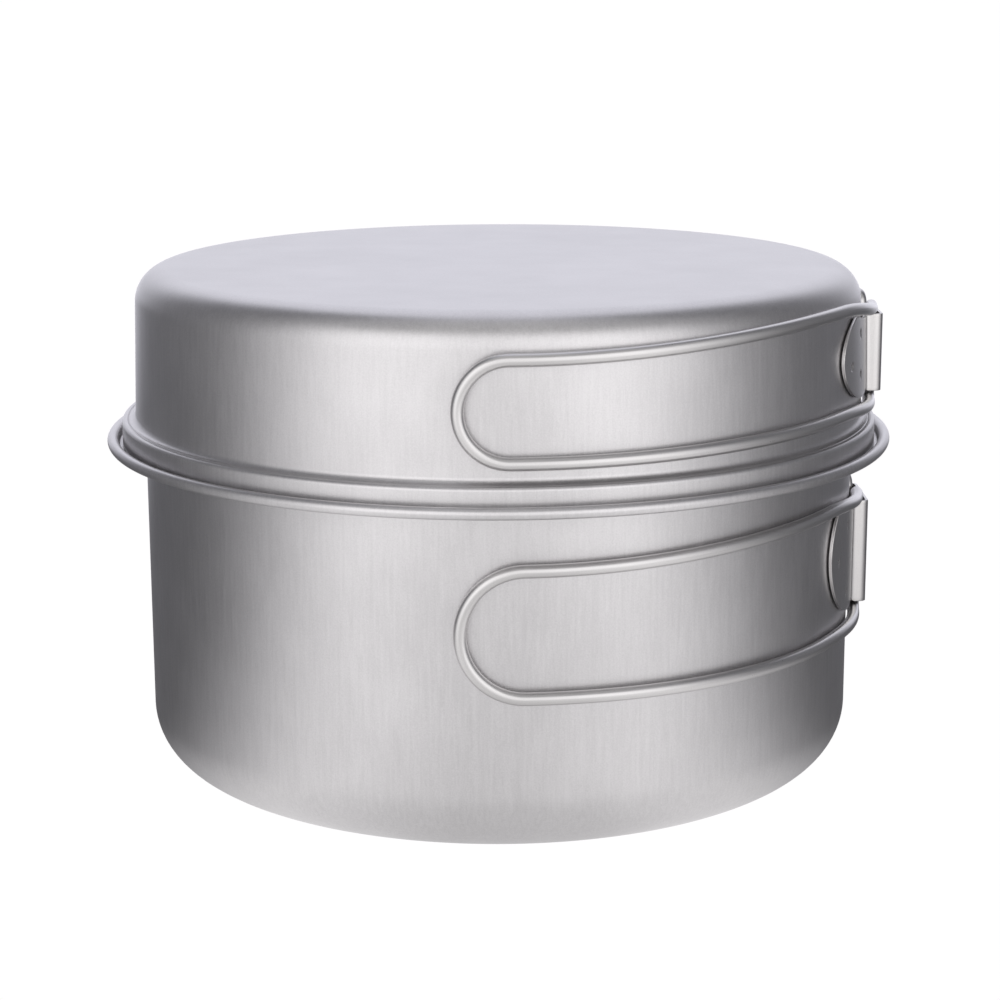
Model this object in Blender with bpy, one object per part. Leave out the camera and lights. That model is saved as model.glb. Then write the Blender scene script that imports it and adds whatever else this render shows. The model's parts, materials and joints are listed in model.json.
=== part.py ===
"""Camping cooking pot set: a sheet-metal pot whose lid is a frying pan turned upside down.

Each vessel carries one bent bracket, and each bracket holds the legs of two wire handles,
which fold round the wall when stored. Metres, +Z up. The origin is the centre of the pot's
underside, and the brackets face +X. Front is -Y and rear is +Y.
"""

import math

import bpy
from mathutils import Vector

# Sheet and wire
SHEET = 0.0005  # wall of both vessels
WIRE = 0.0024  # handle wire, across
BRACKET_SHEET = 0.0006
GAP = 0.0003  # between pieces that touch

# Pot
POT_RADIUS = 0.0701  # outside of the straight wall
POT_HEIGHT = 0.06675  # underside to the top of the rolled rim
POT_CORNER = 0.0118  # outside radius from wall to base
SEAT_STEP = 0.0053  # from the wall's outside to the lip's inside
SEAT_DEPTH = 0.0020  # rim top down to the seat the pan stands on
BEAD_RADIUS = 0.0011  # section of the rolled rim

# Pan, stored upside down
PAN_HEIGHT = 0.03405  # edge of the skirt to the flat bottom
PAN_SKIRT = 0.00455  # upright skirt below the step
PAN_STEP = 0.00265  # from the skirt's outside to the wall's
PAN_TAPER = 0.00066  # radius lost between the step and the shoulder
PAN_SHOULDER = 0.0064  # outside radius from wall to bottom
SKIRT_CLEARANCE = 0.0008  # between the skirt and the pot's lip

# Small bends
SEAT_BEND = 0.0008
SKIRT_BEND = 0.0007

# Handles
WALL_TO_WIRE = 0.0003
LEG_GAP = 0.0098  # between the legs of the two handles in one bracket
LEG_INNER_BEND = 0.0008  # inside radius between leg and run
LEG_INSIDE = 0.0050  # leg below the bracket's edge
RUN_GAP = 0.0004  # between a run and the bracket's edge that it passes
HANDLE_SWEEP = math.radians(96.0)  # from the bracket's centre to the far end of the loop

# Brackets
TUNNEL_BEND = 0.0010  # middle of the sheet
TUNNEL_CLEARANCE = 0.00055  # between a leg and the tunnel's front
TUNNEL_SIDE_PLAY = 0.0004  # between a leg and the tunnel's side
WING_REACH = math.radians(27.7)  # from the bracket's centre to the tip of a wing
WING_ROUNDING = 0.0155  # length of the rounded end, along the wall
WELD_RADIUS = 0.0007
WELD_INNER = math.radians(18.0)  # two welds beside the tunnel
WELD_OUTER = math.radians(23.8)  # one weld near the tip

# Steps of the round shapes
TURNS = 60
BEND_STEPS = 3
CORNER_STEPS = 5
BEAD_STEPS = 7
RUN_STEPS = 14
LOOP_STEPS = 10
TIP_STEPS = 6
WING_STEPS = 4
WELD_SIDES = 10
TIP_FLAT = 0.12  # share of the wing's half height that stays straight at its tip
CREST_SHARE = 0.30  # share of a run at which it crests
LARGE_FILLET = 0.003  # fillets above this radius get more steps

# Worked out from the sizes above
LIP_RADIUS = POT_RADIUS + SEAT_STEP
BEAD_CENTRE = LIP_RADIUS + BEAD_RADIUS
SEAT_TOP = POT_HEIGHT - SEAT_DEPTH
SKIRT_RADIUS = LIP_RADIUS - SKIRT_CLEARANCE
PAN_EDGE = SEAT_TOP + GAP
PAN_TOP = PAN_EDGE + PAN_HEIGHT
PAN_RADIUS = SKIRT_RADIUS - PAN_STEP  # wall's outside, just above the step
STEP_TOP = PAN_EDGE + PAN_SKIRT
SHOULDER_START = PAN_TOP - PAN_SHOULDER
HINGE_SPACING = WIRE + LEG_GAP
LEG_BEND = LEG_INNER_BEND + WIRE / 2
TUNNEL_WIDTH = HINGE_SPACING + WIRE + 2 * (TUNNEL_SIDE_PLAY + BRACKET_SHEET)


def pan_wall(height):
    """Outside radius of the pan's tapered wall at a height."""
    return PAN_RADIUS - PAN_TAPER * (height - STEP_TOP) / (SHOULDER_START - STEP_TOP)


def pot_wall(height):
    """Outside radius of the pot's wall, the same at every height."""
    return POT_RADIUS


# One entry for each vessel. Heights are those of the tunnel's ends, the wings' lower edge and
# the widest point of their rounded tips, the welds, and the middle of the handle's loop. A
# crest is how far a run rises or falls from that middle, before it settles to the loop's end.
FITTINGS = {
    "pot": {
        "wall": pot_wall,
        "tunnel": (POT_HEIGHT - 0.0355, POT_HEIGHT - 0.01475),
        "wing": (POT_HEIGHT - 0.03395, POT_HEIGHT - 0.02095),
        "welds": (POT_HEIGHT - 0.01635, POT_HEIGHT - 0.0222, POT_HEIGHT - 0.0298),
        "loop_centre": POT_HEIGHT - 0.0241,
        "loop_half": 0.01155,
        "crests": (0.0135, -0.0118),
    },
    "pan": {
        "wall": pan_wall,
        "tunnel": (PAN_TOP - 0.0249, PAN_TOP - 0.0096),
        "wing": (PAN_TOP - 0.0238, PAN_TOP - 0.0152),
        "welds": (PAN_TOP - 0.0112, PAN_TOP - 0.0165, PAN_TOP - 0.0191),
        "loop_centre": PAN_TOP - 0.0165,
        "loop_half": 0.0090,
        "crests": (0.0116, -0.0081),
    },
}


def material(name, colour, roughness):
    """A bare metal of one colour."""
    made = bpy.data.materials.new(name)
    made.use_nodes = True
    shader = made.node_tree.nodes["Principled BSDF"]
    shader.inputs["Base Color"].default_value = (*colour, 1.0)
    shader.inputs["Roughness"].default_value = roughness
    shader.inputs["Metallic"].default_value = 1.0
    return made


def add_mesh(name, points, faces, look):
    """A smooth-shaded mesh object with its origin at the world's."""
    mesh = bpy.data.meshes.new(name)
    mesh.from_pydata(points, [], faces)
    mesh.shade_smooth()
    mesh.set_sharp_from_angle(angle=math.radians(35))
    mesh.materials.append(look)
    made = bpy.data.objects.new(name, mesh)
    bpy.context.collection.objects.link(made)
    return made


def arc(centre, radius, start, end, steps):
    """Points along an arc in the profile's plane, angles in degrees."""
    angles = [math.radians(start + (end - start) * i / steps) for i in range(steps + 1)]
    return [
        (centre[0] + radius * math.cos(a), centre[1] + radius * math.sin(a)) for a in angles
    ]


def filleted(corners):
    """An open outline of (r, z, fillet radius) corners, with each fillet as an arc."""
    points = []
    for i, (r, z, fillet) in enumerate(corners):
        here = Vector((r, z))
        if not fillet:
            points.append((r, z))
            continue
        before = (Vector(corners[i - 1][:2]) - here).normalized()
        after = (Vector(corners[i + 1][:2]) - here).normalized()
        half = before.angle(after) / 2
        centre = here + (before + after).normalized() * fillet / math.sin(half)
        first = here + before * fillet / math.tan(half) - centre
        last = here + after * fillet / math.tan(half) - centre
        steps = CORNER_STEPS if fillet > LARGE_FILLET else BEND_STEPS
        turn = math.atan2(first.x * last.y - first.y * last.x, first.dot(last))
        start = math.atan2(first.y, first.x)
        points += [
            (
                centre.x + fillet * math.cos(start + turn * k / steps),
                centre.y + fillet * math.sin(start + turn * k / steps),
            )
            for k in range(steps + 1)
        ]
    return points


def turned(name, profile, look):
    """A shell turned from a profile that starts and ends on the axis, outer side downwards."""
    mesh = bpy.data.meshes.new(name)
    mesh.from_pydata(
        [(r, 0, z) for r, z in profile], [(i, i + 1) for i in range(len(profile) - 1)], []
    )
    mesh.materials.append(look)
    made = bpy.data.objects.new(name, mesh)
    bpy.context.collection.objects.link(made)
    screw = made.modifiers.new("turn", "SCREW")
    screw.steps = screw.render_steps = TURNS
    screw.use_merge_vertices = True
    screw.merge_threshold = 0.00001
    screw.use_smooth_shade = True
    return made


def pot_body(look):
    """The pot: base, straight wall, stepped seat, short lip and outward rolled rim."""
    lip_outside = LIP_RADIUS + SHEET
    bead_height = POT_HEIGHT - BEAD_RADIUS
    bead_end = 180 + math.degrees(math.acos((BEAD_CENTRE - lip_outside) / BEAD_RADIUS))
    inside = filleted(
        [
            (0, SHEET, 0),
            (POT_RADIUS - SHEET, SHEET, POT_CORNER - SHEET),
            (POT_RADIUS - SHEET, SEAT_TOP, SEAT_BEND),
            (LIP_RADIUS, SEAT_TOP, SEAT_BEND / 2),
            (LIP_RADIUS, bead_height, 0),
        ]
    )
    bead = arc((BEAD_CENTRE, bead_height), BEAD_RADIUS, 180, bead_end - 360, BEAD_STEPS)
    outside = filleted(
        [
            (*bead[-1], 0),
            (lip_outside, SEAT_TOP - SHEET, SEAT_BEND / 2 + SHEET),
            (POT_RADIUS, SEAT_TOP - SHEET, SEAT_BEND - SHEET),
            (POT_RADIUS, 0, POT_CORNER),
            (0, 0, 0),
        ]
    )
    return turned("pot_body", inside[:-1] + bead + outside[1:], look)


def pan_body(look):
    """The pan, upside down: flat bottom on top, shoulder, tapered wall, step and skirt."""
    outside = filleted(
        [
            (0, PAN_TOP, 0),
            (pan_wall(PAN_TOP), PAN_TOP, PAN_SHOULDER),
            (PAN_RADIUS, STEP_TOP, SKIRT_BEND),
            (SKIRT_RADIUS, STEP_TOP, SKIRT_BEND + SHEET),
            (SKIRT_RADIUS, PAN_EDGE, 0),
        ]
    )
    inside = filleted(
        [
            (SKIRT_RADIUS - SHEET, PAN_EDGE, 0),
            (SKIRT_RADIUS - SHEET, STEP_TOP - SHEET, SKIRT_BEND),
            (PAN_RADIUS - SHEET, STEP_TOP - SHEET, SKIRT_BEND + SHEET),
            (pan_wall(PAN_TOP) - SHEET, PAN_TOP - SHEET, PAN_SHOULDER - SHEET),
            (0, PAN_TOP - SHEET, 0),
        ]
    )
    return turned("pan_body", outside + inside, look)


def run_start(fitting, side):
    """Height at which a run leaves the bracket: over it for side 1, under it for side -1."""
    low, high = fitting["tunnel"]
    return (high if side > 0 else low) + side * (RUN_GAP + WIRE / 2)


def wire_radius(fitting):
    """Distance of the handles' wire from the vessel's axis, clear of the wall's widest part."""
    return fitting["wall"](run_start(fitting, -1)) + WALL_TO_WIRE + WIRE / 2


def tunnel_front(fitting):
    """Distance of the tunnel's outer face from the vessel's axis."""
    leg = wire_radius(fitting) * math.cos(HINGE_SPACING / 2 / wire_radius(fitting))
    return leg + WIRE / 2 + TUNNEL_CLEARANCE + BRACKET_SHEET


def run_height(start, crest, end, share):
    """Height of a run, a share of the way from the bracket to the loop's end.

    It leaves the bracket level, climbs to the crest in a smooth S, and settles towards the
    loop's end in a second one.
    """
    first, last, part = start, crest, share / CREST_SHARE
    if share > CREST_SHARE:
        first, last, part = crest, end, (share - CREST_SHARE) / (1 - CREST_SHARE)
    return first + (last - first) * part * part * (3 - 2 * part)


def handle_route(fitting):
    """Centre line of a handle as (distance along the wall, height), leg to leg."""
    centre = fitting["loop_centre"]
    half = fitting["loop_half"]
    hinge = HINGE_SPACING / 2
    first = hinge + LEG_BEND
    turn = HANDLE_SWEEP * wire_radius(fitting) - half
    sides = []
    for side, edge, crest in zip((-1, 1), fitting["tunnel"], fitting["crests"][::-1]):
        start = run_start(fitting, side)
        piece = [(hinge, edge - side * LEG_INSIDE)]
        for step in range(BEND_STEPS + 1):
            a = math.pi / 2 * step / BEND_STEPS
            piece.append(
                (first - LEG_BEND * math.cos(a), start - side * LEG_BEND * (1 - math.sin(a)))
            )
        for step in range(1, RUN_STEPS + 1):
            share = step / RUN_STEPS
            height = run_height(start, centre + crest, centre + side * half, share)
            piece.append((first + (turn - first) * share, height))
        sides.append(piece)
    end = []
    for step in range(1, LOOP_STEPS):
        a = math.pi * step / LOOP_STEPS
        end.append((turn + half * math.sin(a), centre - half * math.cos(a)))
    return sides[0] + end + sides[1][::-1]


def handle(name, fitting, side, look):
    """A wire handle with its origin on its hinge, swept round the wall; side -1 is front."""
    radius = wire_radius(fitting)
    angle = HINGE_SPACING / 2 / radius
    hinge = Vector((radius * math.cos(angle), side * radius * math.sin(angle), 0))
    curve = bpy.data.curves.new(name, "CURVE")
    curve.dimensions = "3D"
    curve.bevel_depth = WIRE / 2
    curve.bevel_resolution = 2
    curve.use_fill_caps = True
    curve.twist_mode = "MINIMUM"
    route = handle_route(fitting)
    spline = curve.splines.new("POLY")
    spline.points.add(len(route) - 1)
    for point, (along, height) in zip(spline.points, route):
        a = side * along / radius
        point.co = (
            radius * math.cos(a) - hinge.x,
            radius * math.sin(a) - hinge.y,
            height,
            1,
        )
    curve.materials.append(look)
    made = bpy.data.objects.new(name, curve)
    made.location = hinge
    bpy.context.collection.objects.link(made)
    return made


def under_run(fitting, angle):
    """Height just below the upper run, at an angle from the bracket's centre."""
    centre = fitting["loop_centre"]
    radius = wire_radius(fitting)
    first = HINGE_SPACING / 2 + LEG_BEND
    turn = HANDLE_SWEEP * radius - fitting["loop_half"]
    share = max((angle * radius - first) / (turn - first), 0)
    crest, end = centre + fitting["crests"][0], centre + fitting["loop_half"]
    return run_height(run_start(fitting, 1), crest, end, share) - WIRE / 2 - RUN_GAP


def bracket_path(wing_radius, front):
    """Middle of the bent sheet in plan, from the front wing's tip to the tunnel's centre."""
    side = TUNNEL_WIDTH / 2 - BRACKET_SHEET / 2
    foot = side + TUNNEL_BEND
    root = math.asin(foot / wing_radius)
    rounded = WING_ROUNDING / wing_radius
    quarter = [math.pi / 2 * k / TIP_STEPS for k in range(TIP_STEPS + 1)]
    angles = [WING_REACH - rounded * (1 - math.cos(t)) for t in quarter]
    plain = WING_REACH - rounded - root
    angles += [root + plain * (1 - k / WING_STEPS) for k in range(1, WING_STEPS + 1)]
    path = [(wing_radius * math.cos(a), -wing_radius * math.sin(a)) for a in angles]
    foot_x = wing_radius * math.cos(root)
    bends = [math.pi / 2 * k / BEND_STEPS for k in range(BEND_STEPS + 1)]
    path += [
        (foot_x + TUNNEL_BEND * (1 - math.cos(t)), -foot + TUNNEL_BEND * math.sin(t))
        for t in bends[1:]
    ]
    path += [
        (front - TUNNEL_BEND * (1 - math.sin(t)), -side + TUNNEL_BEND * (1 - math.cos(t)))
        for t in bends
    ]
    return path


def bracket_extent(fitting, station, spot):
    """Lowest and highest point of the sheet at a station of its path, which is at that spot."""
    low, widest = fitting["wing"]
    if station > TIP_STEPS + WING_STEPS:
        return fitting["tunnel"]
    # Near the tip the edge follows half an ellipse, and the rest of the top follows the wire.
    share = math.sin(math.pi / 2 * min(station, TIP_STEPS) / TIP_STEPS)
    half = (widest - low) * max(share, TIP_FLAT)
    top = under_run(fitting, math.atan2(-spot[1], spot[0]))
    return widest - half, min(widest + half, top)


def bracket(name, fitting, look):
    """A bent sheet: two wings that follow the wall and a tunnel for the handles' legs."""
    front = tunnel_front(fitting) - BRACKET_SHEET / 2
    count = TIP_STEPS + WING_STEPS + 2 * BEND_STEPS + 2
    points = []
    for index in range(2 * count):
        mirrored = index >= count
        station = 2 * count - 1 - index if mirrored else index
        row = []
        widest = fitting["wing"][1]
        middle = bracket_path(fitting["wall"](widest) + GAP + BRACKET_SHEET / 2, front)
        for height in bracket_extent(fitting, station, middle[station]):
            wing = fitting["wall"](height) + GAP + BRACKET_SHEET / 2
            path = [Vector(p) for p in bracket_path(wing, front)]
            ahead = path[min(station + 1, count - 1)]
            along = (ahead - path[max(station - 1, 0)]).normalized()
            if station == count - 1:
                along = Vector((0, 1))
            outward = Vector((along.y, -along.x)) * BRACKET_SHEET / 2
            for sheet_side in (1, -1):
                spot = path[station] + outward * sheet_side
                row.append((spot.x, -spot.y if mirrored else spot.y, height))
        points += [row[0], row[2], row[3], row[1]]
    last = len(points) - 4
    faces = [(3, 2, 1, 0), (last, last + 1, last + 2, last + 3)]
    for a in range(0, last, 4):
        b = a + 4
        faces += [(a + k, a + (k + 1) % 4, b + (k + 1) % 4, b + k) for k in range(4)]
    return add_mesh(name, points, faces, look)


def weld_places(fitting):
    """(side, angle, height, name) of the welds, three on each wing."""
    upper, outer, lower = fitting["welds"]
    for side, side_name in ((-1, "front"), (1, "rear")):
        yield side, WELD_INNER, upper, f"{side_name}_upper"
        yield side, WELD_OUTER, outer, f"{side_name}_outer"
        yield side, WELD_INNER, lower, f"{side_name}_lower"


def stud(name, radius, inner, outer, side, angle, height, look):
    """A short cylinder that points away from the vessel's axis."""
    out = Vector((math.cos(angle), side * math.sin(angle), 0))
    across = Vector((-out.y, out.x, 0))
    up = Vector((0, 0, 1))
    points = []
    for distance in (inner, outer):
        for i in range(WELD_SIDES):
            t = 2 * math.pi * i / WELD_SIDES
            points.append(
                out * distance
                + across * (radius * math.cos(t))
                + up * (height + radius * math.sin(t))
            )
    n = WELD_SIDES
    faces = [tuple(range(n))[::-1], tuple(range(n, 2 * n))]
    faces += [(i, (i + 1) % n, n + (i + 1) % n, n + i) for i in range(n)]
    return add_mesh(name, points, faces, look)


def welds(vessel, fitting, plate, look):
    """The welds of one bracket, each in a clearance hole that is cut through the wing."""
    for side, angle, height, place in weld_places(fitting):
        wall = fitting["wall"](height)
        outer_face = wall + GAP + BRACKET_SHEET
        cutter = stud(
            f"cut_{vessel}_{place}",
            WELD_RADIUS + GAP,
            wall - BRACKET_SHEET,
            outer_face + BRACKET_SHEET * 2,
            side,
            angle,
            height,
            look,
        )
        cutter.hide_render = True
        cutter.display_type = "WIRE"
        hole = plate.modifiers.new(place, "BOOLEAN")
        hole.operation = "DIFFERENCE"
        hole.solver = "EXACT"
        hole.object = cutter
        name = f"{vessel}_weld_{place}"
        made = stud(name, WELD_RADIUS, wall + GAP, outer_face, side, angle, height, look)
        made.parent = plate


def main():
    for old in list(bpy.data.objects):
        bpy.data.objects.remove(old, do_unlink=True)
    blasted = material("blasted_titanium", (0.46, 0.46, 0.48), 0.5)
    plate_look = material("bracket_titanium", (0.50, 0.50, 0.53), 0.35)
    wire_look = material("wire_titanium", (0.50, 0.50, 0.52), 0.4)
    weld_look = material("weld_titanium", (0.40, 0.40, 0.43), 0.45)
    bodies = {"pot": pot_body(blasted), "pan": pan_body(blasted)}
    lift = bpy.data.objects.new("pan_lift", None)
    bpy.context.collection.objects.link(lift)
    bodies["pan"].parent = lift
    for vessel, fitting in FITTINGS.items():
        plate = bracket(f"{vessel}_bracket", fitting, plate_look)
        plate.parent = bodies[vessel]
        welds(vessel, fitting, plate, weld_look)
        for side, side_name in ((-1, "front"), (1, "rear")):
            made = handle(f"{vessel}_handle_{side_name}", fitting, side, wire_look)
            made.parent = bodies[vessel]


main()
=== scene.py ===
# %% [markdown]
# # A camping pot with a frying pan for a lid
#
# This lesson finishes a two-piece cooking set. Both vessels are pressed from half a millimetre
# of titanium, blasted to a soft grey, and each has two wire handles that fold round its wall.
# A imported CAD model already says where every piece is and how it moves. So the first step
# loads it as a fixed frame, and everything after that is put where the frame says.

# %% Load the frame
import json
import math

import bmesh
import bpy
import numpy as np
from mathutils import Matrix, Vector


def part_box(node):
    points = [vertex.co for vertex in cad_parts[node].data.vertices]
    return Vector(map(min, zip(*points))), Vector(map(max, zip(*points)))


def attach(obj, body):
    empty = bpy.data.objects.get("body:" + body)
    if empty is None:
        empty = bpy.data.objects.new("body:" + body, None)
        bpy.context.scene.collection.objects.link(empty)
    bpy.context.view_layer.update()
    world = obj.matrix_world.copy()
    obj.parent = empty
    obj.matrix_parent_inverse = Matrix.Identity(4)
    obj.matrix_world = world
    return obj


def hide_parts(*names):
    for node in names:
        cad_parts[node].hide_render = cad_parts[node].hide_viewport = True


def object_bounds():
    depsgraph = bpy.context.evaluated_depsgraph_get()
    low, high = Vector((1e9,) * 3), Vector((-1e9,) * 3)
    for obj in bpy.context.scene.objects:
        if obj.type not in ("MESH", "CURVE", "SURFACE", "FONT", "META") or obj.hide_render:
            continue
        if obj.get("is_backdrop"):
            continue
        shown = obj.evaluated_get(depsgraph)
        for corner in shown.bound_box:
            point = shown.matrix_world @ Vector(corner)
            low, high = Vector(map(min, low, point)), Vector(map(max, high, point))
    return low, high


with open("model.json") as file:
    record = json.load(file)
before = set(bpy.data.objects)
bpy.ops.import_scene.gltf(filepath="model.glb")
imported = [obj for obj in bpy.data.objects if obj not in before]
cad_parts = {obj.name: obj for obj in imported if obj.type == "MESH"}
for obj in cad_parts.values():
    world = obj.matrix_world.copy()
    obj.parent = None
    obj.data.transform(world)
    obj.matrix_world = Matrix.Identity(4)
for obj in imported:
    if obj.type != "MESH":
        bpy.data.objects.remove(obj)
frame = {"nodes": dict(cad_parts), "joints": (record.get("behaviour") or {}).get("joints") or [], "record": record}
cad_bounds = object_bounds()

# %% [markdown]
# ## From a grid of points to a mesh
#
# Every new piece here is a surface with two directions, such as round the pot and up its
# wall. A grid of points covers it, and one function joins neighbours into faces. It could be
# done point by point, but whole arrays are much quicker and shorter. The function also gives
# each face its place on an unrolled surface, in metres, which lets a finish follow the piece.


# %% Grid to mesh
def skin(name, grid, wrap=True, poles=False, spread=None):
    """A mesh whose face (i, j) joins points (i, j), (i, j+1), (i+1, j+1) and (i+1, j).

    wrap joins the last column to the first. With poles the first and last rows are one point
    each, closed with triangles. spread gives the unrolled place of rows and of columns.
    """
    rows, columns = grid.shape[:2]
    index = np.arange(rows * columns).reshape(rows, columns)
    if poles:
        index[[0, -1]] = index[[0, -1], :1]
    if wrap:
        index = np.column_stack([index, index[:, 0]])
    along, across = spread or (np.arange(rows), np.arange(index.shape[1]))
    place = np.stack(np.meshgrid(across, along), axis=-1)

    def cells(values):
        return np.stack(
            [values[:-1, :-1], values[:-1, 1:], values[1:, 1:], values[1:, :-1]], axis=2
        )

    def corners(values, tail):
        whole = cells(values)
        if not poles:
            return whole.reshape(-1, *tail), []
        first, last = whole[0][:, [0, 2, 3]], whole[-1][:, :3]
        triangles = np.concatenate([first, last]).reshape(-1, *tail)
        return whole[1:-1].reshape(-1, *tail), triangles

    quads, triangles = corners(index, ())
    used, loops = np.unique(np.concatenate([quads, triangles]), return_inverse=True)
    sizes = np.repeat([4, 3], [len(quads) // 4, len(triangles) // 3])
    mesh = bpy.data.meshes.new(name)
    mesh.vertices.add(len(used))
    mesh.vertices.foreach_set("co", grid.reshape(-1, 3)[used.astype(int)].ravel())
    mesh.loops.add(len(loops))
    mesh.loops.foreach_set("vertex_index", loops.astype(np.int32).ravel())
    mesh.polygons.add(len(sizes))
    mesh.polygons.foreach_set("loop_start", (np.cumsum(sizes) - sizes).astype(np.int32))
    mesh.update(calc_edges=True)
    mesh.shade_smooth()
    spots, pole_spots = corners(place, (2,))
    unrolled = np.concatenate([spots, pole_spots]) if poles else spots
    mesh.uv_layers.new(name="unrolled").data.foreach_set("uv", unrolled.ravel())
    made = bpy.data.objects.new(name, mesh)
    bpy.context.scene.collection.objects.link(made)
    return made


def volume(made):
    """Signed volume of a closed mesh in mm3: the sum of its triangles' corner products / 6.

    It is positive when the faces look outwards.
    """
    mesh = made.data
    mesh.calc_loop_triangles()
    points = np.empty(len(mesh.vertices) * 3)
    mesh.vertices.foreach_get("co", points)
    corners = np.empty(len(mesh.loop_triangles) * 3, np.int32)
    mesh.loop_triangles.foreach_get("vertices", corners)
    a, b, c = points.reshape(-1, 3)[corners.reshape(-1, 3)].transpose(1, 0, 2) * 1000
    return float(np.einsum("ij,ij->", a, np.cross(b, c)) / 6)


def told(made):
    """Prints what was made, and hands it on."""
    faces = len(made.data.polygons)
    print(f"{made.name}: {faces} faces, {volume(made):.1f} mm3 of metal")
    return made


print("a grid of points becomes a mesh, and its metal can be weighed")

# %% [markdown]
# ## Outlines with rounded corners
#
# A press tool never leaves a sharp corner, and on satin metal it is the rounded corners that
# catch the light. So an outline is first given as a few corners, each with its radius, and
# then each corner becomes an arc. Long straight stretches get points too, so that smooth
# shading bends the light only where the metal bends.


# %% Outline helpers
ARC_DEGREES = 5  # between an arc's points, at most
OUTLINE_STEP = 0.003  # between points on a vessel's straight stretches


def arc(centre, radius, start, end):
    """Points at centre + radius (cos a, sin a), for angles a from start to end in degrees."""
    steps = max(2, math.ceil(abs(end - start) / ARC_DEGREES))
    a = np.radians(np.linspace(start, end, steps + 1))
    return np.asarray(centre) + radius * np.stack([np.cos(a), np.sin(a)], axis=-1)


def rounded(corners):
    """An outline through (r, z, radius) corners, each one an arc that touches both sides.

    The arc's centre is on the line that halves the corner, at radius / sin(half the angle).
    """
    spots = np.array(corners, float)
    pieces = []
    for i, (here, radius) in enumerate(zip(spots[:, :2], spots[:, 2])):
        if not radius:
            pieces.append(here[None])
            continue
        before = spots[i - 1, :2] - here
        after = spots[i + 1, :2] - here
        before, after = before / np.hypot(*before), after / np.hypot(*after)
        half = math.acos(np.clip(before @ after, -1, 1)) / 2
        middle = before + after
        centre = here + middle / np.hypot(*middle) * radius / math.sin(half)
        first = here + before * radius / math.tan(half) - centre
        last = here + after * radius / math.tan(half) - centre
        turn = math.copysign(math.pi - 2 * half, first[0] * last[1] - first[1] * last[0])
        start = math.degrees(math.atan2(first[1], first[0]))
        pieces.append(arc(centre, radius, start, start + math.degrees(turn)))
    return np.concatenate(pieces)


def walked(points):
    """The length from the first point to each, along the line through them."""
    steps = np.linalg.norm(np.diff(points, axis=0), axis=1)
    return np.concatenate([[0], np.cumsum(steps)])


def spaced(outline, step):
    """The outline with points added, so that its straight stretches are split evenly."""
    apart = np.linalg.norm(np.diff(outline, axis=0), axis=1) > 1e-8
    outline = outline[np.append(apart, True)]
    length = walked(outline)
    even = np.arange(step, length[-1], step)
    near = np.abs(even[:, None] - length[None]).min(axis=1)
    places = np.sort(np.concatenate([length, even[near > step / 3]]))
    return np.stack([np.interp(places, length, axis) for axis in outline.T], axis=-1)


def turned(name, outline, turns=288):
    """A surface of revolution: the outline's point (r, z) at angle a is (r cos a, r sin a, z)."""
    r, z = outline.T
    a = np.linspace(0, 2 * np.pi, turns, endpoint=False)
    grid = np.stack(
        [np.outer(r, np.cos(a)), np.outer(r, np.sin(a)), np.outer(z, np.ones(turns))], axis=-1
    )
    round_it = np.linspace(0, 2 * np.pi * r.max(), turns + 1)
    return skin(name, grid, poles=True, spread=(walked(outline), round_it))


print("a rounded 10 mm corner has", len(arc((0, 0), 0.01, 0, 90)), "points")

# %% [markdown]
# ## The pot
#
# The pot is one deep-drawn shell. Near its top the wall steps out to a narrow seat for the
# pan, rises as a short lip, and rolls outwards into a hollow bead. The bead hides the raw
# edge and stiffens the rim. The heights and the widest radius are read from the frame, and
# the thickness and the bends are the sizes of the real pressing.

# %% Sizes of the vessels
SHEET = 0.0005
POT_WALL = 0.0701  # outside radius
POT_CORNER = 0.0118
LIP = 0.0754  # inside radius of the lip
SEAT_DEPTH = 0.0020  # below the rim
SEAT_BEND = 0.0008
BEAD_END = -105  # degrees, where the rolled edge stops

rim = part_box("pot_body")[1]
lid_low, lid_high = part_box("pan_body")
seat = rim.z - SEAT_DEPTH
bead = (rim.x - LIP) / 2
print(f"rim {rim.x * 1000:.2f} mm out and {rim.z * 1000:.2f} mm up, bead {bead * 2000:.2f} mm")


# %% Pot shell
def pot_outline():
    """Base, wall, seat and lip outside, round the hollow bead, and down again inside."""
    roll = (LIP + bead, rim.z - bead)
    outside = rounded(
        [
            (0, 0, 0),
            (POT_WALL, 0, POT_CORNER),
            (POT_WALL, seat - SHEET, SEAT_BEND - SHEET),
            (LIP + SHEET, seat - SHEET, SEAT_BEND / 2 + SHEET),
            (LIP + SHEET, roll[1], 0),
        ]
    )
    hollow = arc(roll, bead - SHEET, 180, BEAD_END)
    a = math.radians(BEAD_END)
    middle = bead - SHEET / 2
    edge = arc(
        (roll[0] + middle * math.cos(a), roll[1] + middle * math.sin(a)),
        SHEET / 2,
        BEAD_END + 180,
        BEAD_END + 360,
    )
    over = arc(roll, bead, BEAD_END, 180)
    inside = rounded(
        [
            (LIP, roll[1], 0),
            (LIP, seat, SEAT_BEND / 2),
            (POT_WALL - SHEET, seat, SEAT_BEND),
            (POT_WALL - SHEET, SHEET, POT_CORNER - SHEET),
            (0, SHEET, 0),
        ]
    )
    return np.concatenate([outside[:-1], hollow[:-1], edge[:-1], over[:-1], inside])


pot = told(turned("pot_shell", spaced(pot_outline(), OUTLINE_STEP)))

# %% [markdown]
# ## The pan
#
# The pan stands upside down on the pot's seat, so its flat bottom is on top. A wide shoulder
# leads to a wall that tapers a little. The wall flares into a step, and the step ends in a
# fine crease with a raised shoulder beside it, where the tool folded the metal over into the
# upright skirt. The crease is less than a fifth of a millimetre deep, but it draws a clear
# line round the pan, so it is in the outline and not in the finish.

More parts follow.
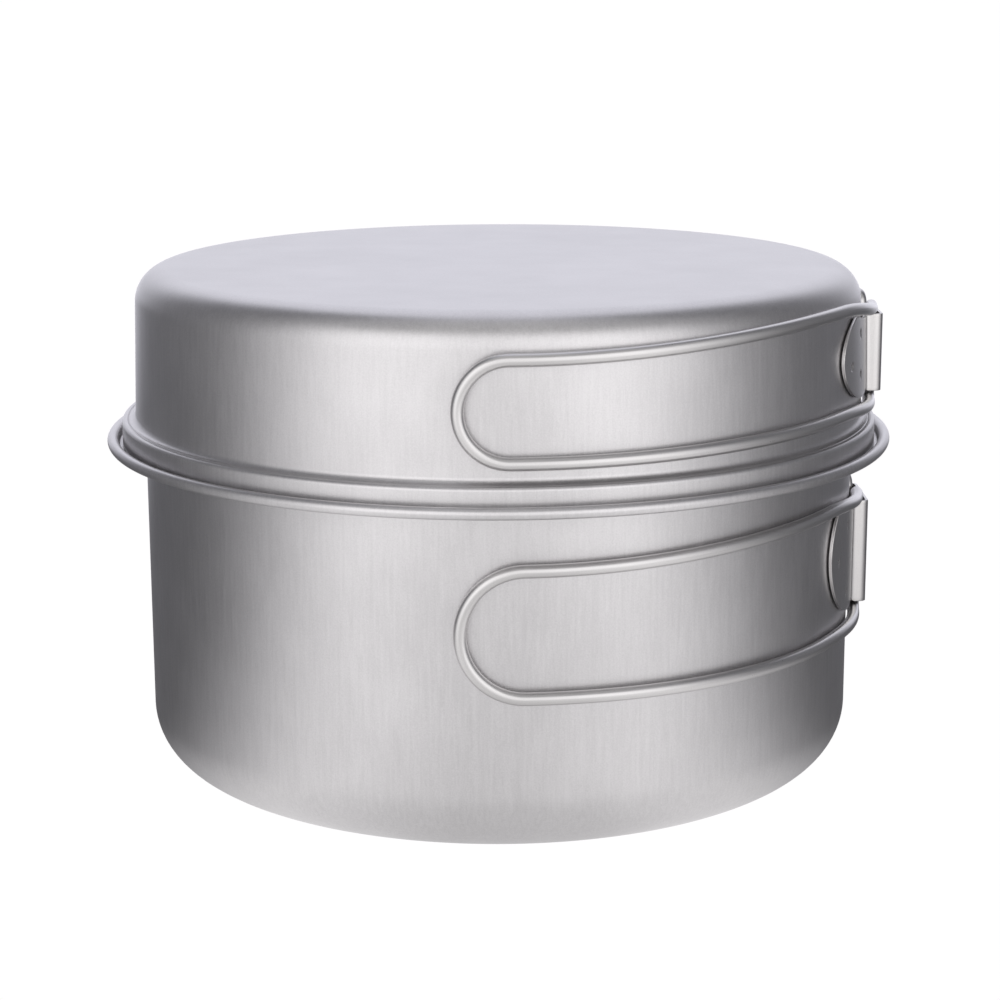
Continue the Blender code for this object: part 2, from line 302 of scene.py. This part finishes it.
# %% Pan shell
PAN_TAPER = 0.00066  # how much narrower the wall is where the shoulder starts
PAN_SHOULDER = 0.0064
PAN_SKIRT = 0.00478  # height of the upright skirt
PAN_STEP = 0.00265  # width of the step
FLARE = 0.0012
SKIRT_BEND = 0.0008
CREASE = 0.00016  # its depth, and half its width
CREASE_INSET = 0.00122  # from the skirt's outer face

step_top = lid_low.z + PAN_SKIRT
shoulder_start = lid_high.z - PAN_SHOULDER
pan_wall_low = lid_high.x - PAN_STEP


def pan_wall(height):
    """Outside radius of the pan's wall, which tapers evenly from the step upwards."""
    return pan_wall_low - PAN_TAPER * (height - step_top) / (shoulder_start - step_top)


def pan_outline():
    """From the middle of the underside out and down, round the edge, and back over the top."""
    skirt, top = lid_high.x, lid_high.z
    crease = skirt - CREASE_INSET
    return rounded(
        [
            (0, top - SHEET, 0),
            (pan_wall(top) - SHEET, top - SHEET, PAN_SHOULDER - SHEET),
            (pan_wall_low - SHEET, step_top - SHEET, FLARE + SHEET),
            (skirt - SHEET, step_top - SHEET, SKIRT_BEND - SHEET / 2),
            (skirt - SHEET, lid_low.z, SHEET / 5),
            (skirt, lid_low.z, SHEET / 5),
            (skirt, step_top, SKIRT_BEND),
            (crease + CREASE, step_top, CREASE / 2),
            (crease, step_top - CREASE, CREASE / 3),
            (crease - CREASE, step_top, CREASE / 2),
            (pan_wall_low, step_top, FLARE),
            (pan_wall(top), top, PAN_SHOULDER),
            (0, top, 0),
        ]
    )


pan = told(turned("pan_shell", spaced(pan_outline(), OUTLINE_STEP)))

# %% [markdown]
# ## Where the handles go
#
# A handle is one piece of 2.4 mm wire. Seen unrolled, it is a long loop: a leg inside the
# bracket, a tight bend, a run along the wall, a half circle, a run back, a bend and the other
# leg. It could be drawn as a curve object, but worked out as points it can be measured, and
# its tube gets an unrolled map on which fine draw marks follow the wire.

# %% Handle sizes
WIRE = 0.0024
WIRE_STEP = 0.0012  # between points along a wire
LEG_INSIDE = 0.0050  # length of a leg in its tunnel
RUN_GAP = 0.0004  # between a tunnel's end and the wire
LEG_BEND = 0.0020
HANDLE_SWEEP = math.radians(96.0)  # round the wall, from the bracket's middle
CREST_SHARE = 0.30  # of a run, from the bracket to its crest
TIP_ROUNDING = 0.0004
LOOPS = {
    # middle of the loop below the vessel's top, half its height, crests above and below
    "pot": (0.0241, 0.01155, (0.0135, -0.0118)),
    "pan": (0.0165, 0.0090, (0.0116, -0.0081)),
}
TOPS = {"pot": rim.z, "pan": lid_high.z}
TUNNEL_TOPS = {"pot": 0.01475, "pan": 0.0096}  # below the vessel's top
hinges = {j["child"]: Vector(j["pos_m"]) for j in frame["joints"] if j["type"] == "hinge"}
for body, hinge in hinges.items():
    print(f"{body} turns at {hinge.x * 1000:.2f}, {hinge.y * 1000:.2f} mm")


# %% Handle route
def run_height(start, crest, end, share):
    """Height along a run, from two smooth S curves, s * s * (3 - 2 * s).

    The first goes from the bracket to the run's crest and the second from there to its end.
    """
    first = np.clip(share / CREST_SHARE, 0, 1)
    then = np.clip((share - CREST_SHARE) / (1 - CREST_SHARE), 0, 1)
    height = start + (crest - start) * first**2 * (3 - 2 * first)
    return height + (end - crest) * then**2 * (3 - 2 * then)


def tunnel_ends(vessel):
    """Heights of a tunnel's ends."""
    low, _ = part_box(f"{vessel}_bracket")
    return low.z, TOPS[vessel] - TUNNEL_TOPS[vessel]


def handle_route(vessel, radius, offset):
    """Centre line, unrolled: distance round the wall from the bracket's middle, and height."""
    below, half, crests = LOOPS[vessel]
    centre = TOPS[vessel] - below
    low, high = tunnel_ends(vessel)
    turn = HANDLE_SWEEP * radius - half
    sides = []
    for side, edge, crest in ((-1, low, crests[1]), (1, high, crests[0])):
        start = edge + side * (RUN_GAP + WIRE / 2)
        leg = [(offset, edge - side * LEG_INSIDE)]
        bend = arc((offset + LEG_BEND, start - side * LEG_BEND), LEG_BEND, 180, 180 - side * 90)
        share = np.linspace(0, 1, 120)[1:]
        height = run_height(start, centre + crest, centre + side * half, share)
        run_start = offset + LEG_BEND
        run = np.stack([run_start + (turn - run_start) * share, height], axis=-1)
        sides.append(np.concatenate([leg, bend, run]))
    loop = arc((turn, centre), half, -90, 90)[1:-1]
    return np.concatenate([sides[0], loop, sides[1][::-1]])


def wire_handle(name, vessel, body):
    """A tube of radius w round the route: centre + w (outward cos a + across sin a).

    Outward points away from the vessel's axis, and across is at right angles to it and to the
    wire. Both ends are rounded over a short length, and closed.
    """
    hinge = hinges[body]
    radius = math.hypot(hinge.x, hinge.y)
    side = math.copysign(1, hinge.y)
    route = handle_route(vessel, radius, abs(math.atan2(hinge.y, hinge.x)) * radius)
    route = spaced(route, WIRE_STEP)
    length = walked(route)
    inset = TIP_ROUNDING * (1 - np.cos(np.linspace(0, math.pi / 2, 6)))
    places = np.concatenate([[0], inset, length[1:-1], length[-1] - inset[::-1], [length[-1]]])
    places = places[np.argsort(places, kind="stable")]
    round_it, height = (np.interp(places, length, axis) for axis in route.T)
    angle = side * round_it / radius
    centre = np.stack([radius * np.cos(angle), radius * np.sin(angle), height], axis=-1)
    ahead = np.stack([np.gradient(axis, length) for axis in route.T], axis=-1)
    ahead = np.stack([np.interp(places, length, axis) for axis in ahead.T], axis=-1)
    outward = np.stack([np.cos(angle), np.sin(angle), 0 * angle], axis=-1)
    round_wall = np.stack([-np.sin(angle), np.cos(angle), 0 * angle], axis=-1) * side
    along = ahead[:, :1] * round_wall + ahead[:, 1:] * [0, 0, 1]
    along /= np.linalg.norm(along, axis=1)[:, None]
    across = np.cross(along, outward)
    from_end = np.minimum(places, length[-1] - places)
    sunk = np.clip(TIP_ROUNDING - from_end, 0, None)
    thick = WIRE / 2 - TIP_ROUNDING + np.sqrt(TIP_ROUNDING**2 - sunk**2)
    thick[[0, -1]] = 0
    a = np.linspace(0, 2 * np.pi, 28, endpoint=False)
    ring = outward[:, None] * np.cos(a)[:, None] + across[:, None] * np.sin(a)[:, None]
    grid = centre[:, None] + thick[:, None, None] * ring
    spread = (places, np.linspace(0, np.pi * WIRE, len(a) + 1))
    return told(skin(name, grid, poles=True, spread=spread))


handles = {}
for body in hinges:
    vessel, side_name = body.split("_")
    node = f"{vessel}_handle_{side_name}"
    handles[node] = wire_handle(f"{node}_wire", vessel, body)

# %% [markdown]
# ## The brackets
#
# A bracket is one strip of sheet, bent into a tunnel that holds the handles' legs, with a
# round-ended wing on each side that lies against the wall. The strip is a path in plan,
# carried along a section that runs up its outer face, over its top edge, down its inner face
# and back under. The sheet is dented at each spot weld, so the grid is packed closer there.

# %% Bracket sizes
PLATE = 0.0006
GAP = 0.0003  # between a wing and the wall
PLATE_EDGE = 0.00014  # rounding of the sheet's cut edges
PLAY = 0.0004  # between a leg and the tunnel
TUNNEL_BEND = 0.0010  # radius at the middle of the sheet
TIP_LENGTH = 0.0155  # length of a wing's round end, along the wall
WINGS = {"pot": (0.03395, 0.02095), "pan": (0.0238, 0.0152)}  # low and widest, below the top
WELD = 0.0007  # radius of the fused spot
DENT = 0.0010  # radius of the bowl round it
DENT_DEPTH = 0.00034
DENT_REACH = 0.0009  # how far the points crowd together round a dent
FINE_TIP = 0.0012  # length of a wing's tip that has closer points
NUDGE = 1e-7  # step along the path that tells its direction
WALLS = {"pot": lambda height: POT_WALL + 0 * height, "pan": pan_wall}


def weld_spots(vessel):
    """The middle of each weld's outer face, read from the frame."""
    found = {}
    for node in frame["nodes"]:
        if not node.startswith(f"{vessel}_weld_"):
            continue
        low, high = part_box(node)
        middle = (low + high) / 2
        face = WALLS[vessel](middle.z) + GAP + PLATE
        out = Vector((middle.x, middle.y, 0)).normalized()
        found[node] = out * face + Vector((0, 0, middle.z))
    return found


spots = {vessel: weld_spots(vessel) for vessel in WALLS}
print({vessel: len(found) for vessel, found in spots.items()}, "welds")


# %% Bracket shape
def crowded(start, end, count, centres, reach):
    """Places from start to end, closer near the centres.

    Their number grows with 1 + 5 exp(-(distance / reach)^2) for each centre.
    """
    fine = np.linspace(start, end, 2000)
    centres = np.asarray(centres)[:, None]
    density = 1 + 5 * np.exp(-(((fine - centres) / reach) ** 2)).sum(axis=0)
    total = np.concatenate([[0], np.cumsum((density[1:] + density[:-1]) / 2)])
    return np.interp(np.linspace(0, total[-1], count), total, fine)


def dent(distance):
    """Depth at a distance from a weld: a round bowl, 1 - s^2, with a softened rim."""
    share = distance / DENT
    return DENT_DEPTH * np.clip(1 - share**2, 0, 1) ** 1.15


def plan_path(radius, length, front, half_width):
    """Middle of the sheet in plan, at lengths from the tunnel's middle line.

    It runs across the tunnel's front, round a bend, back along its side, round another bend,
    and out along the wall. radius may be an array, with one value for each height.
    """
    side = half_width - PLATE / 2
    foot = side + TUNNEL_BEND
    foot_x = np.sqrt(radius**2 - foot**2)
    quarter = TUNNEL_BEND * math.pi / 2
    flat = side - TUNNEL_BEND
    straight = front - TUNNEL_BEND - (foot_x + TUNNEL_BEND)
    root = np.arcsin(foot / radius)
    a = np.clip(length, 0, flat)
    b = np.clip(length - flat, 0, quarter) / TUNNEL_BEND
    c = np.clip(length - flat - quarter, 0, None)
    c = np.minimum(c, straight)
    d = np.clip(length - flat - quarter - straight, 0, quarter) / TUNNEL_BEND
    e = np.clip(length - flat - quarter - straight - quarter, 0, None) / radius
    x = front - TUNNEL_BEND * (1 - np.cos(b)) - c - TUNNEL_BEND * np.sin(d)
    y = a + TUNNEL_BEND * np.sin(b) + TUNNEL_BEND * (1 - np.cos(d))
    on_wing = e > 0
    x = np.where(on_wing, radius * np.cos(root + e), x)
    y = np.where(on_wing, radius * np.sin(root + e), y)
    return x, y


def under_run(vessel, radius, angle):
    """Height just below the handle's upper run, at an angle from the bracket's middle."""
    below, half, crests = LOOPS[vessel]
    centre = TOPS[vessel] - below
    start = tunnel_ends(vessel)[1] + RUN_GAP + WIRE / 2
    first = abs(hinges[f"{vessel}_front"].y) + LEG_BEND
    share = (angle * radius - first) / (HANDLE_SWEEP * radius - half - first)
    height = run_height(start, centre + crests[0], centre + half, np.clip(share, 0, 1))
    return height - WIRE / 2 - RUN_GAP


def bracket(vessel):
    """The bent strip: middle of the sheet + normal * offset, less the dents at the welds.

    Towards a wing's tip the sheet's height follows half an ellipse, and the rest of its top
    runs just below the wire.
    """
    _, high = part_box(f"{vessel}_bracket")
    bottom_end, top_end = tunnel_ends(vessel)
    front = high.x - PLATE / 2
    wing_low, widest = (TOPS[vessel] - below for below in WINGS[vessel])
    wall = WALLS[vessel](widest) + GAP + PLATE / 2
    hinge = hinges[f"{vessel}_front"]
    half_width = abs(hinge.y) + WIRE / 2 + PLAY + PLATE
    foot = half_width - PLATE / 2 + TUNNEL_BEND
    root = math.asin(foot / wall)
    bend = TUNNEL_BEND * math.pi / 2
    across_front = foot - 2 * TUNNEL_BEND
    along_side = front - math.sqrt(wall**2 - foot**2) - 2 * TUNNEL_BEND
    wing_start = across_front + 2 * bend + along_side
    tip = wing_start + (math.asin(high.y / (wall + PLATE / 2)) - root) * wall
    welds = list(spots[vessel].values())
    along = [wing_start + (math.atan2(abs(s.y), s.x) - root) * wall for s in welds]
    out = crowded(0, tip, 150, along, DENT_REACH)
    # Finer towards the tip, whose outline turns quickly there.
    tip_turn = np.linspace(0, math.pi / 2, 40)
    round_end = tip - TIP_LENGTH * (1 - np.cos(tip_turn))
    out = np.union1d(out, round_end[round_end > tip - FINE_TIP])
    out = out[np.append(np.diff(out) > 1e-6, True)]
    length = np.concatenate([-out[:0:-1], out])
    away = np.abs(length)[:, None]

    share = np.sqrt(1 - np.clip((away - tip + TIP_LENGTH) / TIP_LENGTH, 0, 1) ** 2)
    half = (widest - wing_low) * share
    blend = np.clip((away - (wing_start - bend)) / bend, 0, 1)
    blend = blend * blend * (3 - 2 * blend)
    bottom = bottom_end + (widest - half - bottom_end) * blend
    angle = root + (away - wing_start) / wall
    ceiling = under_run(vessel, math.hypot(hinge.x, hinge.y), angle)
    top = top_end + (np.minimum(widest + half, ceiling) - top_end) * blend
    heights = crowded(0, 1, 110, [(s.z - wing_low) / (top_end - wing_low) for s in welds], 0.05)
    round_edge = np.linspace(0, math.pi / 2, 5)[1:]
    face = PLATE / 2 - PLATE_EDGE + PLATE_EDGE * np.cos(round_edge)
    top_edge = PLATE_EDGE * np.sin(round_edge)
    inset = np.minimum(PLATE_EDGE, (top - bottom) / 2)
    span = top - bottom - 2 * inset
    scale = inset / PLATE_EDGE
    rows = [
        (bottom + inset + span * heights, np.full(len(heights), PLATE / 2)),
        (top - inset + scale * top_edge, face),
        (top - inset + scale * top_edge[::-1], -face[::-1]),
        (top - inset - span * np.linspace(0, 1, 24), np.full(24, -PLATE / 2)),
        (bottom + inset - scale * top_edge, -face),
        (bottom + inset - scale * top_edge[::-1], face[::-1]),
    ]
    z = np.concatenate([np.broadcast_to(h, (len(length), len(o))) for h, o in rows], axis=1)
    offset = np.concatenate([o for _, o in rows])[None]

    wing = WALLS[vessel](z) + GAP + PLATE / 2
    away = np.broadcast_to(away, z.shape)
    side = np.where(length < 0, -1, 1)[:, None]
    x, y = plan_path(wing, away, front, half_width)
    after_x, after_y = plan_path(wing, away + NUDGE, front, half_width)
    before_x, before_y = plan_path(wing, away - NUDGE, front, half_width)
    step_x, step_y = after_x - before_x, after_y - before_y
    size = np.hypot(step_x, step_y)
    normal = np.stack([step_y / size, -side * step_x / size, 0 * size], axis=-1)
    grid = np.stack([x, side * y, z], axis=-1) + normal * offset[..., None]
    outer = (offset == PLATE / 2)[..., None]
    for s in welds:
        sunk = dent(np.linalg.norm(grid - np.array(s), axis=-1))[..., None]
        grid = grid - normal * np.where(outer, sunk, 0)
    spread = (length, np.arange(grid.shape[1] + 1) * 0.0001)
    made = skin(f"{vessel}_bracket_plate", grid[:, ::-1], spread=spread)
    close_tips(made)
    return told(made)


def close_tips(made):
    """Joins the points that meet at the strip's two ends."""
    work = bmesh.new()
    work.from_mesh(made.data)
    bmesh.ops.remove_doubles(work, verts=work.verts, dist=1e-7)
    bmesh.ops.dissolve_degenerate(work, edges=work.edges, dist=1e-8)
    open_edges = sum(edge.is_boundary for edge in work.edges)
    work.to_mesh(made.data)
    work.free()
    made.data.shade_smooth()
    print(made.name, "has", open_edges, "open edges")


plates = {vessel: bracket(vessel) for vessel in WALLS}

# %% [markdown]
# ## The spot welds
#
# Each wing is held by three spot welds. The electrode leaves a small round bowl whose floor is
# fused metal, and its lighter colour than the sheet is a painted highlight. The bowl is already
# in the plate, so the weld is a thin plug that lines it: a lens turned about a line that points
# out from the wall.

# %% Weld plugs
LINING = 0.000012


def weld_plug(name, spot):
    """A plug turned about the outward line: depth below the plate's face at a distance.

    Its top follows the dent, a hair above it. Its side and back are inside the sheet.
    """
    distance = np.concatenate([np.linspace(0, WELD * 0.9, 14), [WELD * 0.96, WELD, WELD]])
    depth = dent(distance) - LINING
    depth[-3:] += [LINING, LINING * 4, PLATE * 0.45]
    distance = np.append(distance, 0)[::-1]
    depth = np.append(depth, depth[-1])[::-1]
    a = np.linspace(0, 2 * np.pi, 40, endpoint=False)
    out = np.array(Vector((spot.x, spot.y, 0)).normalized())
    across = np.array([-out[1], out[0], 0])
    ring = across * np.cos(a)[:, None] + np.array([0, 0, 1]) * np.sin(a)[:, None]
    grid = np.array(spot) + distance[:, None, None] * ring - depth[:, None, None] * out
    return skin(name, grid, poles=True, spread=(distance, np.linspace(0, np.pi * WELD, 41)))


plugs = {}
for found in spots.values():
    for node, spot in found.items():
        plugs[node] = weld_plug(f"{node}_mark", spot)
print(len(plugs), "weld marks, the last of", round(volume(plugs[node]), 3), "mm3")

# %% [markdown]
# ## Shader maths as Python
#
# A node tree can be built node by node, but a formula such as 0.9 + 0.1 * noise is easier to
# read than three boxes and four wires. A small class wraps a socket, so that an expression
# adds the nodes. Any other node comes from one method, which takes its settings and inputs.


# %% Sockets with operators
class Value:
    """A node's output that can be used in sums, products and powers."""

    def __init__(self, tree, socket):
        self.tree = tree
        self.socket = socket

    def math(self, operation, *values):
        return add(self.tree, "ShaderNodeMath", {"operation": operation}, dict(enumerate(values)))

    def __add__(self, other):
        return self.math("ADD", self, other)

    __radd__ = __add__

    def __mul__(self, other):
        return self.math("MULTIPLY", self, other)

    __rmul__ = __mul__

    def __sub__(self, other):
        return self.math("SUBTRACT", self, other)

    def __rsub__(self, other):
        return self.math("SUBTRACT", other, self)

    def __pow__(self, other):
        return self.math("POWER", self, other)

    def ramp(self, low, high):
        """0 below low and 1 above high, with a smooth S between."""
        values = {0: self, 1: low, 2: high}
        return add(self.tree, "ShaderNodeMapRange", {"interpolation_type": "SMOOTHSTEP"}, values)


def add(tree, kind, settings=None, inputs=None, output=0):
    """A node of any kind, with its settings and its inputs; the answer is one output."""
    node = tree.nodes.new(kind)
    for name, value in (settings or {}).items():
        setattr(node, name, value)
    for slot, value in (inputs or {}).items():
        if isinstance(value, Value):
            tree.links.new(value.socket, node.inputs[slot])
        else:
            node.inputs[slot].default_value = value
    return Value(tree, node.outputs[output])


print("sockets add, subtract, multiply and take powers")

# %% [markdown]
# ## Bare titanium
#
# All pieces are the same bare metal, and they differ in how they were worked. The vessels are
# blasted with fine grit, which leaves a fine even grain over the faint upright marks of
# drawing. The plates are plain rolled sheet with a finer tooth. The wire was pulled through a
# die, so its marks run along it. The welds are smooth, with a faint straw tint, and their
# lighter colour is a painted highlight.


# %% Finishes
PATCHES = 0.018  # size of the broad patches


def speckle(tree, place, size, detail=2.0, stretch=(1, 1, 1)):
    """Noise with spots of about that size in metres, drawn out along an axis by a stretch."""
    scale = [1 / (size * s) for s in stretch]
    moved = add(tree, "ShaderNodeMapping", None, {"Vector": place, "Scale": scale})
    return add(
        tree,
        "ShaderNodeTexNoise",
        None,
        {"Vector": moved, "Scale": 1.0, "Detail": detail, "Roughness": 0.6},
    )


def titanium(name, dark, light, roughness, grain, marks, relief, unrolled=False):
    """Bare metal whose colour, roughness and height vary with grain, marks and broad patches.

    grain is the size of the fine spots, and marks are the size and stretch of the tool marks,
    which follow the piece where unrolled is true.
    """
    look = bpy.data.materials.new(name)
    look.use_nodes = True
    tree = look.node_tree
    tree.nodes.clear()
    place = add(tree, "ShaderNodeTexCoord", output="UV" if unrolled else "Object")
    fine = speckle(tree, place, grain)
    drawn = speckle(tree, place, marks[0], 3.0, marks[1])
    broad = speckle(tree, place, PATCHES)
    tone = 0.38 * fine + 0.32 * drawn + 0.30 * broad
    mixed = add(
        tree,
        "ShaderNodeMix",
        {"data_type": "RGBA"},
        {0: tone.ramp(0.30, 0.70), 6: (*dark, 1), 7: (*light, 1)},
        output=2,
    )
    bump = add(
        tree,
        "ShaderNodeBump",
        None,
        {"Strength": 0.5, "Distance": relief, "Height": 0.7 * fine + 0.3 * drawn},
    )
    shader = add(
        tree,
        "ShaderNodeBsdfPrincipled",
        None,
        {
            "Base Color": mixed,
            "Metallic": 1.0,
            "Roughness": roughness + 0.10 * (drawn - 0.5) + 0.06 * (fine - 0.5),
            "Normal": bump,
        },
    )
    surface = tree.nodes.new("ShaderNodeOutputMaterial")
    tree.links.new(shader.socket, surface.inputs["Surface"])
    return look


FINISHES = {
    "vessel": titanium(
        "blasted_titanium",
        dark=(0.560, 0.550, 0.556),
        light=(0.672, 0.661, 0.667),
        roughness=0.36,
        grain=0.00028,
        marks=(0.0006, (1, 1, 14)),
        relief=0.00003,
    ),
    "bracket": titanium(
        "plate_titanium",
        dark=(0.60, 0.59, 0.59),
        light=(0.68, 0.665, 0.655),
        roughness=0.30,
        grain=0.00022,
        marks=(0.0004, (1, 1, 6)),
        relief=0.00002,
    ),
    "wire": titanium(
        "wire_titanium",
        dark=(0.58, 0.57, 0.57),
        light=(0.66, 0.65, 0.645),
        roughness=0.30,
        grain=0.00025,
        marks=(0.00022, (1, 30, 1)),
        relief=0.00001,
        unrolled=True,
    ),
    # The welds' lighter colour is a painted highlight. The faint straw tint is their own.
    "weld": titanium(
        "weld_titanium",
        dark=(0.66, 0.645, 0.625),
        light=(0.76, 0.74, 0.715),
        roughness=0.22,
        grain=0.00015,
        marks=(0.0003, (1, 1, 1)),
        relief=0.00001,
    ),
}
print(", ".join(look.name for look in FINISHES.values()))

# %% [markdown]
# ## Onto the frame
#
# Each new piece now takes its finish, rides on the moving body of the CAD piece that it stands
# for, and hides that piece. The CAD solids stay underneath for the physics.


# %% Ride, replace, finish
def settle(made, node, slot):
    """Gives a piece its finish, and the body and place of the CAD node it stands for."""
    body = next(b for b, nodes in frame["record"]["behaviour"]["bodies"].items() if node in nodes)
    made.data.materials.append(FINISHES[slot])
    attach(made, body)
    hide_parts(node)


settle(pot, "pot_body", "vessel")
settle(pan, "pan_body", "vessel")
for vessel, made in plates.items():
    settle(made, f"{vessel}_bracket", "bracket")
for node, made in handles.items():
    settle(made, node, "wire")
for node, made in plugs.items():
    settle(made, node, "weld")
print("pieces settled:", 4 + len(handles) + len(plugs))

# %% [markdown]
# ## Floor and light
#
# Satin metal shows what is round it, so the light matters as much as the finish. The pot
# stands on a plain white floor in a soft studio: two wide white panels in front, left and
# right, a dim ceiling and dim sides, and a bright back wall. It could be done with lamps and
# black cards. Here the studio is painted on the sky by direction, which gives soft edges and
# little noise.

# %% Camera place
CAMERA_AIM = Vector((0, 0, 0.05064))
CAMERA_AWAY = 0.49118
CAMERA_AZIMUTH = math.radians(-90.5)  # from the brackets, which face +X
CAMERA_RISE = math.radians(12.88)
CAMERA_ROLL = math.radians(-0.2)
camera_spot = CAMERA_AIM + CAMERA_AWAY * Vector(
    (
        math.cos(CAMERA_RISE) * math.cos(CAMERA_AZIMUTH),
        math.cos(CAMERA_RISE) * math.sin(CAMERA_AZIMUTH),
        math.sin(CAMERA_RISE),
    )
)
print("camera at", [round(c * 1000, 1) for c in camera_spot], "mm")

# %% Light by direction
PANELS = 1.40  # brightness of the two panels in front
BETWEEN_PANELS = 0.34  # how much dimmer it is between the two panels
SIDES = 0.18  # brightness all round, which is all that the sides have


def bearing(tree, place):
    """Degrees between a place and the camera's side of the studio, seen from above."""
    parts = add(tree, "ShaderNodeSeparateXYZ", None, {"Vector": place})
    east, north = (Value(tree, parts.socket.node.outputs[i]) for i in range(2))
    ahead = math.cos(CAMERA_AZIMUTH) * east + math.sin(CAMERA_AZIMUTH) * north
    right = math.cos(CAMERA_AZIMUTH) * north - math.sin(CAMERA_AZIMUTH) * east
    turn = right.math("ARCTAN2", right, ahead) * (180 / math.pi)
    return turn.math("ABSOLUTE", turn)


def round_the_pot(off, back, start):
    """Brightness at a bearing off: (front * panels) + back wall + the dim sides.

    The back wall's brightness is back, and it sets in over 30 degrees from start on.
    """
    front = (1 - off.ramp(36, 102)) ** 1.5
    panels = PANELS - BETWEEN_PANELS * (1 - off.ramp(6, 32))
    return front * panels + back * off.ramp(start, start + 30) + SIDES


def tint(tree, off):
    """White in front, turning a little blue towards the back."""
    return add(
        tree,
        "ShaderNodeMix",
        {"data_type": "RGBA"},
        {0: off.ramp(40, 140), 6: (0.995, 0.985, 0.992, 1), 7: (0.955, 0.958, 1.05, 1)},
        output=2,
    )


print("panels in front, dim sides, a bright back")

# %% Studio sky
SKY_BACK = 0.86  # brightness of the back wall
world = bpy.data.worlds.new("soft_studio")
world.use_nodes = True
sky = world.node_tree
sky.nodes.clear()
toward = add(sky, "ShaderNodeTexCoord", output="Generated")
up = add(sky, "ShaderNodeSeparateXYZ", None, {"Vector": toward}, output="Z")
rise = up.math("ARCSINE", up) * (180 / math.pi)
off = bearing(sky, toward)
# The dim ceiling starts higher over the back, and it is a little brighter straight above.
behind = off.ramp(80, 110)
ceiling = (rise - 34 * behind).ramp(33, 53)
overhead = 0.50 + 0.12 * rise.ramp(60, 80)
studio = round_the_pot(off, SKY_BACK, 128) * (1 - ceiling) + overhead * ceiling
# The metal sees the studio, and the eye sees plain white behind the pot.
glow = add(sky, "ShaderNodeBackground", None, {"Color": tint(sky, off), "Strength": studio})
plain = add(sky, "ShaderNodeBackground", None, {"Color": (1, 1, 1, 1), "Strength": 1.0})
seen = add(sky, "ShaderNodeLightPath", output="Is Camera Ray")
both = add(sky, "ShaderNodeMixShader", None, {0: seen, 1: glow, 2: plain})
sky_output = sky.nodes.new("ShaderNodeOutputWorld")
sky.links.new(both.socket, sky_output.inputs["Surface"])
bpy.context.scene.world = world
print("studio painted on the sky with", len(sky.nodes), "nodes")

# %% Floor
FLOOR_HALF = 12.0
FLOOR_BACK = 1.7  # brightness of the floor behind the pot
SEEN_WHITE = 1.02  # how bright the floor is to the eye
floor_mesh = bpy.data.meshes.new("studio_floor")
floor_mesh.from_pydata(
    [(x * FLOOR_HALF, y * FLOOR_HALF, 0) for x, y in ((-1, -1), (1, -1), (1, 1), (-1, 1))],
    [],
    [(0, 1, 2, 3)],
)
floor = bpy.data.objects.new("studio_floor", floor_mesh)
bpy.context.scene.collection.objects.link(floor)
paper = bpy.data.materials.new("floor_painted_light")
paper.use_nodes = True
sheet = paper.node_tree
sheet.nodes.clear()
# The eye sees an even white floor. The metal sees one that glows with painted light and shade:
# dim at the sides, as if black cards stood there, and a painted shadow close to the pot, which
# stands in its own shade.
direct = add(sheet, "ShaderNodeLightPath", output="Is Camera Ray")
spot = add(sheet, "ShaderNodeTexCoord", output="Object")
away = add(sheet, "ShaderNodeVectorMath", {"operation": "LENGTH"}, {0: spot}, output=1)
# Painted shadow: the floor's glow is dimmer close to the pot.
shade = 0.60 + 0.08 * away.ramp(0.07, 0.13) + 0.25 * away.ramp(0.30, 0.46)
off = bearing(sheet, spot)
carded = round_the_pot(off, FLOOR_BACK, 136) * shade * (1 - direct) + SEEN_WHITE * direct
white = add(
    sheet,
    "ShaderNodeEmission",
    None,
    {"Color": tint(sheet, off * (1 - direct)), "Strength": carded},
)
floor_output = sheet.nodes.new("ShaderNodeOutputMaterial")
sheet.links.new(white.socket, floor_output.inputs["Surface"])
floor_mesh.materials.append(paper)
floor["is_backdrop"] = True
print("floor", 2 * FLOOR_HALF, "m across")

# %% [markdown]
# ## Camera
#
# A long lens from a little above the rim keeps the round shapes calm. The camera is placed by
# its distance, its rise and its bearing from the brackets, and it rolls by a fraction of a
# degree, as a hand-levelled tripod does.

# %% Camera
camera_data = bpy.data.cameras.new("camera")
camera_data.sensor_width = 36.0
camera_data.lens = 87.42
camera_data.shift_x = 0.00135
camera_data.clip_start = 0.01
camera_data.clip_end = 60.0
camera = bpy.data.objects.new("camera", camera_data)
bpy.context.scene.collection.objects.link(camera)
facing = (CAMERA_AIM - camera_spot).to_track_quat("-Z", "Y").to_matrix().to_4x4()
camera.matrix_world = (
    Matrix.Translation(camera_spot) @ facing @ Matrix.Rotation(CAMERA_ROLL, 4, "Z")
)
bpy.context.scene.camera = camera
bpy.context.scene.view_settings.view_transform = "Standard"
print("lens", camera_data.lens, "mm")

# %% [markdown]
# ## Finish
#
# Both boxes, round the CAD model and round the new pieces, are put in a table, and their sizes
# are printed.

# %% Sizes of both boxes
made_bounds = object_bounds()
sizes = {
    "cad": [[float(c) for c in corner] for corner in cad_bounds],
    "visual": [[float(c) for c in corner] for corner in made_bounds],
}
for name, (low, high) in sizes.items():
    print(name, "size", [round((b - a) * 1000, 2) for a, b in zip(low, high)], "mm")
